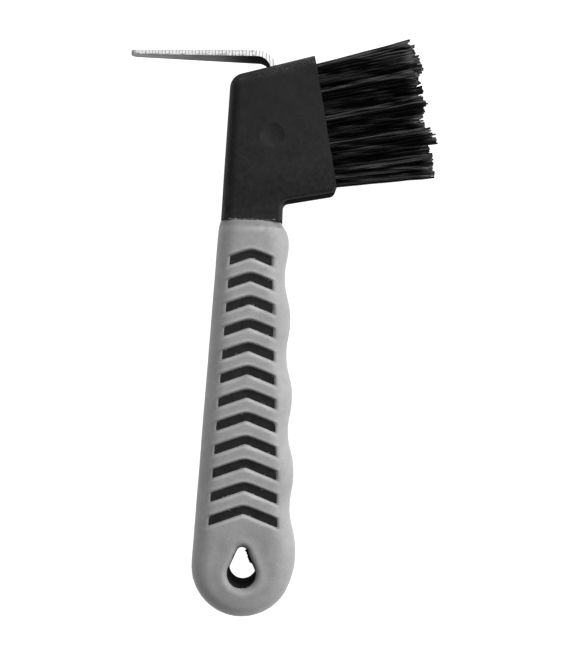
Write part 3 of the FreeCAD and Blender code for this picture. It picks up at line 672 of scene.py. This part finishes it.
class Nodes:
    """A material's node tree, built up a node at a time."""

    def __init__(self, name):
        self.material = bpy.data.materials.new(name)
        self.material.use_nodes = True
        self.tree = self.material.node_tree
        self.shader = self.tree.nodes["Principled BSDF"]
        self.place = self.add("ShaderNodeTexCoord").outputs["Object"]
        split = self.add("ShaderNodeSeparateXYZ")
        self.link(self.place, split.inputs["Vector"])
        self.axes = {axis: split.outputs[axis] for axis in "XYZ"}

    def add(self, kind, **settings):
        node = self.tree.nodes.new(kind)
        for key, value in settings.items():
            setattr(node, key, value)
        return node

    def link(self, source, target):
        self.tree.links.new(source, target)

    def feed(self, socket, value):
        if isinstance(value, bpy.types.NodeSocket):
            self.link(value, socket)
        else:
            socket.default_value = value

    def noise(self, scale, detail=3.0, roughness=0.5, stretch=(1, 1, 1)):
        """A noise pattern; scale is in features per metre."""
        mapping = self.add("ShaderNodeMapping")
        mapping.inputs["Scale"].default_value = stretch
        self.link(self.place, mapping.inputs["Vector"])
        node = self.add("ShaderNodeTexNoise")
        self.link(mapping.outputs["Vector"], node.inputs["Vector"])
        node.inputs["Scale"].default_value = scale
        node.inputs["Detail"].default_value = detail
        node.inputs["Roughness"].default_value = roughness
        return node.outputs["Fac"]

    def specks(self, scale, size):
        """Sparse small dots: 1 in a dot, 0 elsewhere. scale is in cells per metre."""
        cells = self.add("ShaderNodeTexVoronoi")
        self.link(self.place, cells.inputs["Vector"])
        cells.inputs["Scale"].default_value = scale
        cells.inputs["Randomness"].default_value = 1.0
        return self.ramp(cells.outputs["Distance"], size, size * 0.6)

    def ramp(self, value, low, high):
        """0 at low and 1 at high, limited between them."""
        node = self.add("ShaderNodeMapRange", clamp=True)
        self.feed(node.inputs["Value"], value)
        node.inputs["From Min"].default_value = low
        node.inputs["From Max"].default_value = high
        return node.outputs["Result"]

    def scaled(self, value, low, high):
        """A 0 to 1 value spread from low to high."""
        node = self.add("ShaderNodeMapRange", clamp=True)
        self.feed(node.inputs["Value"], value)
        node.inputs["To Min"].default_value = low
        node.inputs["To Max"].default_value = high
        return node.outputs["Result"]

    def maths(self, operation, a, b=0.0):
        """One sum on two values, such as MULTIPLY or MAXIMUM."""
        node = self.add("ShaderNodeMath", operation=operation)
        self.feed(node.inputs[0], a)
        self.feed(node.inputs[1], b)
        return node.outputs[0]

    def product(self, *values):
        total = values[0]
        for value in values[1:]:
            total = self.maths("MULTIPLY", total, value)
        return total

    def beyond_line(self, start, end):
        """Distance in millimetres to the right of a line seen from above, between design points."""
        (ax, ay), (bx, by) = [(frame_x(x), frame_y(y)) for x, y in (start, end)]
        run = math.hypot(bx - ax, by - ay)
        right_x, right_y = (by - ay) / run / MM, -(bx - ax) / run / MM
        reach_x = self.product(self.axes["X"], right_x)
        reach_y = self.product(self.axes["Y"], right_y)
        return self.maths("SUBTRACT", self.maths("ADD", reach_x, reach_y), ax * right_x + ay * right_y)

    def mix(self, factor, a, b):
        """A colour between a and b."""
        node = self.add("ShaderNodeMix", data_type="RGBA")
        self.feed(node.inputs[0], factor)
        for socket, colour in ((node.inputs[6], a), (node.inputs[7], b)):
            self.feed(socket, colour if isinstance(colour, bpy.types.NodeSocket) else (*colour, 1.0))
        return node.outputs[2]

    def attribute(self, name):
        """A value that is stored with the mesh, 0 where it has none."""
        return self.add("ShaderNodeAttribute", attribute_name=name).outputs["Fac"]

    def bump(self, height, distance, before=None):
        """The surface's direction, tilted by a height pattern that is this many metres deep."""
        node = self.add("ShaderNodeBump")
        self.link(height, node.inputs["Height"])
        node.inputs["Distance"].default_value = distance
        node.inputs["Strength"].default_value = 1.0
        if before is not None:
            self.link(before, node.inputs["Normal"])
        return node.outputs["Normal"]

    def tilt(self, axis):
        """How much the surface faces along an axis, either way: 0 to 1."""
        split = self.add("ShaderNodeSeparateXYZ")
        self.link(self.add("ShaderNodeNewGeometry").outputs["Normal"], split.inputs["Vector"])
        return self.maths("ABSOLUTE", split.outputs[axis])

    def finish(self, **inputs):
        """Feed the shader's inputs, whose spaces are written as underscores."""
        for name, value in inputs.items():
            self.feed(self.shader.inputs[name.replace("_", " ")], value)
        return self.material


def grey(value):
    """A neutral colour; 0 is black and 1 is white."""
    return (value, value, value)


def rubber_material():
    """Soft grey moulded rubber: cloudy mottling, a fine matt grain, painted shade in the corners,
    painted highlights along the rims and a few dark specks."""
    nodes = Nodes("soft_rubber")
    cloud = nodes.noise(80, detail=4)
    colour = nodes.mix(nodes.ramp(cloud, 0.3, 0.7), grey(0.318), grey(0.368))
    mottle = nodes.noise(420, detail=3)
    colour = nodes.mix(nodes.product(nodes.ramp(mottle, 0.4, 0.65), 0.25), colour, grey(0.26))
    grain = nodes.noise(2400, detail=2)
    colour = nodes.mix(nodes.product(nodes.ramp(grain, 0.42, 0.62), 0.25), colour, grey(0.22))
    # Painted highlights: paler rubber along the rims, where they catch the light
    colour = nodes.mix(nodes.product(nodes.attribute("painted_highlight"), 0.9), colour, grey(0.5))
    # Painted shade: darker rubber where shade falls at the windows, on the lip and round the hole
    colour = nodes.mix(nodes.product(nodes.attribute("painted_shade"), 0.75), colour, grey(0.07))
    dots = nodes.specks(95, 0.035)
    colour = nodes.mix(nodes.product(dots, 0.55), colour, grey(0.12))
    normal = nodes.bump(nodes.noise(2200, detail=3), 0.00005)
    normal = nodes.bump(nodes.noise(260, detail=2), 0.0001, normal)
    roughness = nodes.scaled(nodes.noise(500), 0.5, 0.66)
    return nodes.finish(Base_Color=colour, Roughness=roughness, Normal=normal,
                        Specular_IOR_Level=0.4, Sheen_Weight=0.1, Sheen_Roughness=0.5)


def core_material():
    """Black moulded plastic: fine spark grain, faint flow marks, a pale scuffed band along the head's top
    edge with a painted highlight over it, pale chips along the edge beside the brush, and a dull wall in
    the hanging hole that is painted paler, as painted light in its shade."""
    nodes = Nodes("black_plastic")
    cloud = nodes.noise(120, detail=5)
    colour = nodes.mix(nodes.ramp(cloud, 0.3, 0.7), grey(0.0095), grey(0.0145))
    mottle = nodes.noise(620, detail=5, roughness=0.7)
    head_middle, head_foot = frame_y(150), frame_y(122)
    lower = nodes.scaled(nodes.ramp(nodes.axes["Y"], head_middle, head_foot), 0.25, 0.75)
    colour = nodes.mix(nodes.product(nodes.ramp(mottle, 0.4, 0.65), lower), colour, grey(0.024))
    dust = nodes.specks(330, 0.05)
    patchy = nodes.ramp(nodes.noise(140, detail=2), 0.5, 0.7)
    colour = nodes.mix(nodes.product(dust, patchy, 0.45), colour, grey(0.2))
    # Pale scuffs along the head's top bevel, with a painted highlight where the bevel faces the light
    below_top = nodes.beyond_line(HEAD_BACK, FACE_TOP)
    band = nodes.product(nodes.ramp(below_top, 0.2, 1.0), nodes.ramp(below_top, 4.6, 2.6))
    scuffs_and_highlight = nodes.ramp(nodes.noise(1500, detail=4, roughness=0.7), 0.48, 0.68)
    clouds = nodes.ramp(nodes.noise(160, detail=2), 0.35, 0.6)
    colour = nodes.mix(nodes.product(band, scuffs_and_highlight, clouds, 0.8), colour, grey(0.085))
    beside_brush = nodes.beyond_line(FACE_LOW, FACE_TOP)
    edge = nodes.product(nodes.ramp(beside_brush, -0.1, 0.05), nodes.ramp(beside_brush, 0.65, 0.25))
    chips = nodes.ramp(nodes.noise(620, detail=3, roughness=0.7), 0.56, 0.64)
    colour = nodes.mix(nodes.product(edge, chips, 0.75), colour, grey(0.3))
    normal = nodes.bump(nodes.noise(3000, detail=3, roughness=0.6), 0.00006)
    normal = nodes.bump(nodes.noise(220, detail=3), 0.00008, normal)
    roughness = nodes.scaled(nodes.noise(700), 0.45, 0.6)
    # Painted light: the wall of the hanging hole, which lies in shade, is painted paler than the rest of
    # the plastic
    above_hole = nodes.ramp(nodes.axes["Y"], frame_y(HOLE_WALL_TOP), frame_y(HOLE_WALL_TOP + 1))
    colour = nodes.mix(above_hole, grey(0.022), colour)
    level = nodes.product(above_hole, nodes.ramp(nodes.tilt("Z"), 0.1, 0.6))
    return nodes.finish(Base_Color=colour, Roughness=roughness, Normal=normal,
                        Specular_IOR_Level=nodes.scaled(level, 0.0, 0.16))


def bristle_material():
    """Black nylon filament: each strand a little different, with glossy strands lying in streaks
    between dull ones, and the glossy streaks painted paler as painted highlights."""
    nodes = Nodes("nylon_filament")
    strand = nodes.add("ShaderNodeNewGeometry").outputs["Random Per Island"]
    streak = nodes.noise(460, detail=1, stretch=(0.018, 1, 1))
    # Real gloss, and painted highlight: the glossy streaks are also paler in colour
    gloss_and_highlight = nodes.ramp(nodes.maths("ADD", streak, nodes.product(strand, 0.3)), 0.56, 0.76)
    colour = nodes.mix(gloss_and_highlight, grey(0.0015), grey(0.015))
    scratches = nodes.noise(900, detail=2, stretch=(0.12, 1, 1))
    colour = nodes.mix(nodes.product(scratches, gloss_and_highlight, 0.4), colour, grey(0.03))
    roughness = nodes.scaled(strand, 0.34, 0.5)
    normal = nodes.bump(scratches, 0.00003)
    return nodes.finish(Base_Color=colour, Roughness=roughness, Normal=normal,
                        Specular_IOR_Level=nodes.scaled(gloss_and_highlight, 0.04, 0.5))


def shear_lines(nodes):
    """Regular lines across the sheared edges, which wander slightly."""
    wander = nodes.product(nodes.noise(300, detail=1), 4.0)
    turns = nodes.maths("ADD", nodes.product(nodes.axes["X"], 2 * math.pi / SHEAR_PITCH), wander)
    return nodes.ramp(nodes.maths("SINE", turns), 0.5, 0.95)


def edge_marks(nodes, along, bend_x):
    """The dark parts of the sheared edges: a torn lower border and dashes along the upper one, both
    on the arm only, and the tip."""
    on_arm = nodes.ramp(nodes.axes["X"], bend_x, bend_x - 2 * MM)
    above = nodes.maths("SUBTRACT", nodes.axes["Y"], frame_y(PICK_ARM_Y))
    torn = nodes.scaled(nodes.noise(700, detail=4, roughness=0.75), -3.0 * MM, 2.0 * MM)
    torn = nodes.ramp(nodes.maths("SUBTRACT", torn, above), 0.0, 0.2 * MM)
    dashes = nodes.product(nodes.ramp(above, 0.35 * MM, 0.6 * MM), nodes.ramp(nodes.noise(900), 0.4, 0.55))
    at_tip = nodes.ramp(along, 1.5 * MM, 0.9 * MM)
    marks = nodes.maths("MAXIMUM", nodes.product(torn, on_arm, 0.85), nodes.product(dashes, on_arm, 0.55))
    return nodes.maths("MAXIMUM", marks, nodes.product(at_tip, 0.9))


def face_burr(nodes, along):
    """A ragged pale burr along both borders of the strip's faces, which narrow towards the tip."""
    from_middle = nodes.maths("ABSOLUTE", nodes.maths("SUBTRACT", nodes.axes["Z"], ORIGIN.z))
    narrowing = (PICK_HALF - PICK_TIP_HALF) / (PICK_BEND_X - PICK_TIP_X)
    half = nodes.maths("ADD", nodes.product(along, narrowing), PICK_TIP_HALF * MM)
    half = nodes.maths("MINIMUM", half, PICK_HALF * MM)
    ragged = nodes.scaled(nodes.noise(1500, detail=2, stretch=(1, 0.1, 0.1)), -0.55 * MM, 0.75 * MM)
    burr = nodes.maths("ADD", nodes.maths("SUBTRACT", from_middle, half), ragged)
    return nodes.product(nodes.ramp(burr, -0.05 * MM, 0.05 * MM), 0.6)


def mill_colour(nodes, grain, bend_x):
    """The strip's rolled faces: smeared, with a painted reflection that is dark at the bend, beside the
    black head, and brighter towards the tip.
    """
    # Painted reflection: 0 at the bend beside the black head, rising to 1 towards the tip
    painted_reflection = nodes.ramp(nodes.axes["X"], bend_x + 1 * MM, bend_x - 36 * MM)
    painted_reflection = nodes.product(painted_reflection, nodes.ramp(nodes.axes["X"], bend_x - 1 * MM, bend_x - 12 * MM))
    smears = nodes.ramp(nodes.noise(160, detail=3, stretch=(0.5, 1, 1)), 0.4, 0.65)
    mill = nodes.mix(painted_reflection, grey(0.045), grey(0.37))
    mill = nodes.mix(nodes.product(smears, 0.4), mill, grey(0.055))
    return nodes.mix(nodes.product(grain, painted_reflection, 0.4), mill, grey(0.5))


def steel_material():
    """Strip steel: dull mill faces with a painted reflection along them, and bright sheared edges with
    lines across them, painted near white as a painted reflection on bare steel.
    """
    nodes = Nodes("strip_steel")
    bend_x = frame_x(PICK_BEND_X)
    along = nodes.maths("SUBTRACT", nodes.axes["X"], frame_x(PICK_TIP_X))
    grain = nodes.noise(2400, detail=3, stretch=(0.03, 1, 1))
    lines = shear_lines(nodes)
    unmarked = nodes.maths("SUBTRACT", 1.0, edge_marks(nodes, along, bend_x))
    edge = nodes.ramp(nodes.tilt("Z"), 0.5, 0.8)
    cut = nodes.maths("MAXIMUM", nodes.product(edge, unmarked), face_burr(nodes, along))
    faint = nodes.scaled(nodes.noise(500, detail=2), 0.1, 1.2)
    # Bright bare steel on the sheared edges, painted near white as a painted reflection of the light above
    sheared = nodes.mix(nodes.product(lines, faint), grey(0.97), grey(0.25))
    colour = nodes.mix(cut, mill_colour(nodes, grain, bend_x), sheared)
    normal = nodes.bump(nodes.product(lines, cut), 0.0001)
    normal = nodes.bump(grain, 0.00002, normal)
    # The faces have no gloss, because seen almost edge-on they would mirror the pale floor
    return nodes.finish(Base_Color=colour, Metallic=nodes.scaled(cut, 0.0, 0.3),
                        Roughness=nodes.scaled(cut, 0.4, 0.5), Normal=normal,
                        Specular_IOR_Level=nodes.scaled(cut, 0.0, 0.3))


def soften_edges(node, width):
    """A narrow bevel on a CAD node's sharp edges, so that they catch the light."""
    bevel = frame["nodes"][node].modifiers.new("edge_bevel", "BEVEL")
    bevel.width = width * MM
    bevel.segments = 2
    bevel.limit_method = "ANGLE"


def wire_material():
    """Plain drawn wire for the hidden anchors."""
    nodes = Nodes("anchor_wire")
    grain = nodes.noise(1800, detail=2, stretch=(1, 0.1, 1))
    colour = nodes.mix(grain, grey(0.35), grey(0.5))
    return nodes.finish(Base_Color=colour, Metallic=1.0, Roughness=0.4)


def set_material(node, material):
    """Give a CAD node's object a new material."""
    mesh = frame["nodes"][node].data
    mesh.materials.clear()
    mesh.materials.append(material)


# ---------------------------------------------------------------- floor, lights and camera


def floor():
    """A pale floor, with a little light of its own so that shadows stay faint."""
    low, _ = cad_box
    reach = 3.0         # metres
    corners = [(-reach, -reach), (reach, -reach), (reach, reach), (-reach, reach)]
    mesh = bpy.data.meshes.new("floor")
    level = low[2] - 0.05 * MM
    mesh.from_pydata([(x, y, level) for x, y in corners], [], [(0, 1, 2, 3)])
    piece = bpy.data.objects.new("floor", mesh)
    bpy.context.scene.collection.objects.link(piece)
    nodes = Nodes("pale_floor")
    colour = nodes.mix(nodes.noise(4), grey(0.30), grey(0.34))
    mesh.materials.append(nodes.finish(Base_Color=colour, Roughness=0.9, Specular_IOR_Level=0.1,
                                       Emission_Color=(1, 1, 1, 1), Emission_Strength=1.0))


def softbox(name, place, size, power):
    """A rectangular area light that points at the middle of the frame."""
    lamp = bpy.data.lights.new(name, "AREA")
    lamp.shape = "RECTANGLE"
    lamp.size, lamp.size_y = size
    lamp.energy = power
    light = bpy.data.objects.new(name, lamp)
    bpy.context.scene.collection.objects.link(light)
    light.location = place
    light.rotation_euler = (-Vector(place)).to_track_quat("-Z", "Y").to_euler()


def world(strength):
    """Even white light from all round."""
    scene_world = bpy.data.worlds.new("studio")
    bpy.context.scene.world = scene_world
    scene_world.use_nodes = True
    background = scene_world.node_tree.nodes["Background"]
    background.inputs["Color"].default_value = (1, 1, 1, 1)
    background.inputs["Strength"].default_value = strength


def camera():
    """Straight above the object, with the handle leaning a little clockwise."""
    data = bpy.data.cameras.new("camera")
    data.lens = 69.0
    data.sensor_width = 36.0
    eye = bpy.data.objects.new("camera", data)
    bpy.context.scene.collection.objects.link(eye)
    across, up_handle, above = 11.2, 79.45, 410.0
    eye.location = ORIGIN + Vector((across, up_handle, above)) * MM
    lean = math.radians(1.75)
    eye.rotation_euler = (0, 0, lean)
    data.clip_start = 0.01
    bpy.context.scene.camera = eye


def main():
    bpy.context.scene.view_settings.view_transform = "Standard"
    rubber = rubber_material()
    sculpt_sleeve(rubber)
    flash_specks(rubber)
    bristles = bristle_material()
    wire = wire_material()
    rng = np.random.default_rng(21)
    for node in sorted(frame["nodes"]):
        if node.startswith("bristle_tuft"):
            bristle_tuft(node, bristles, rng)
        elif node.startswith("tuft_anchor"):
            set_material(node, wire)
    plastic = core_material()
    set_material("handle_core", plastic)
    hole_flash(plastic)
    set_material("pick", steel_material())
    soften_edges("pick", EDGE_BEVEL)
    floor()
    softbox("key", (0.85, 0.25, 0.55), (0.6, 0.9), 11)
    softbox("back", (0.1, 0.95, 0.65), (0.9, 0.5), 5)
    softbox("top", (0.15, 0.3, 0.95), (0.6, 0.6), 2)
    world(0.1)
    camera()


main()
